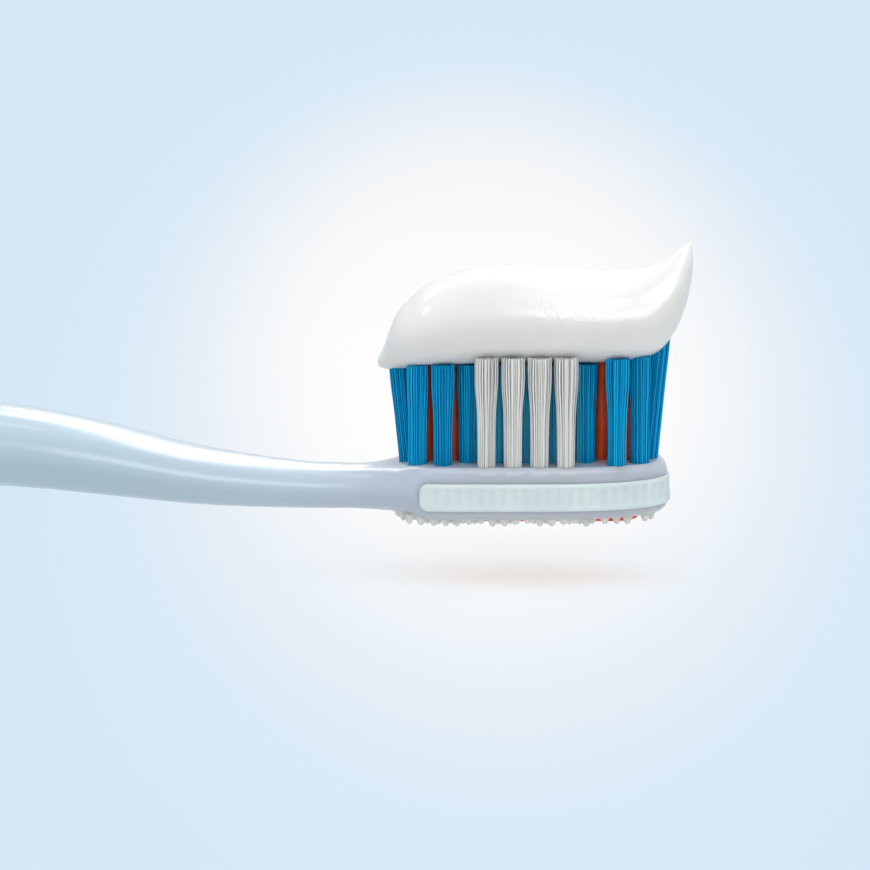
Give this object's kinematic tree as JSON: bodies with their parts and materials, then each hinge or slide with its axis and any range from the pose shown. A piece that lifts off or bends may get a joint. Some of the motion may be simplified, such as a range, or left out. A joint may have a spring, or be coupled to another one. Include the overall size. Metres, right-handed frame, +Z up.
{
  "type": "toothbrush",
  "caption": "Manual toothbrush with translucent blue-grey handle, white and blue bristles, orange polishing cups, soft tongue cleaner and a wave of white toothpaste.",
  "frame": {"origin": "middle of the flat on the back of the grip, in the plane that the brush lies on", "axes": "+X from the tail of the handle to the toe of the head, +Y to the left side of the brush seen from the tail, +Z up along the bristles"},
  "size_m": [0.1922, 0.0134, 0.0299],
  "materials": {
    "clear_plastic": "moulded translucent plastic, glossy",
    "pale_rubber": "soft satin rubber, pale aqua",
    "grey_rubber": "soft satin rubber, warm grey",
    "orange_rubber": "soft satin rubber, orange",
    "anchor_metal": "cut strip",
    "white_filament": "nylon filament, white",
    "blue_filament": "nylon filament, blue",
    "paste": "wet and smooth, white"
  },
  "bodies": {
    "root": {"handle": "clear_plastic", "side_strip": "pale_rubber", "tongue_cleaner": "grey_rubber", "polishing_cups": "orange_rubber", "anchor_plates": "anchor_metal", "toothpaste": "paste", "white_tuft_1": "white_filament", "white_tuft_2": "white_filament", "white_tuft_3": "white_filament", "white_tuft_4": "white_filament", "white_tuft_5": "white_filament", "white_tuft_6": "white_filament", "white_tuft_7": "white_filament", "white_tuft_8": "white_filament", "blue_tuft_1": "blue_filament", "blue_tuft_2": "blue_filament", "blue_tuft_3": "blue_filament", "blue_tuft_4": "blue_filament", "blue_tuft_5": "blue_filament", "blue_tuft_6": "blue_filament", "blue_tuft_7": "blue_filament", "blue_tuft_8": "blue_filament", "blue_tuft_9": "blue_filament", "blue_tuft_10": "blue_filament", "blue_tuft_11": "blue_filament", "blue_tuft_12": "blue_filament", "blue_tuft_13": "blue_filament", "blue_tuft_14": "blue_filament", "blue_tuft_15": "blue_filament", "blue_tuft_16": "blue_filament", "blue_tuft_17": "blue_filament", "blue_tuft_18": "blue_filament", "blue_tuft_19": "blue_filament", "blue_tuft_20": "blue_filament", "blue_tuft_21": "blue_filament", "blue_tuft_22": "blue_filament", "blue_tuft_23": "blue_filament", "blue_tuft_24": "blue_filament", "blue_tuft_25": "blue_filament", "blue_tuft_26": "blue_filament", "blue_tuft_27": "blue_filament"}
  },
  "joints": []
}
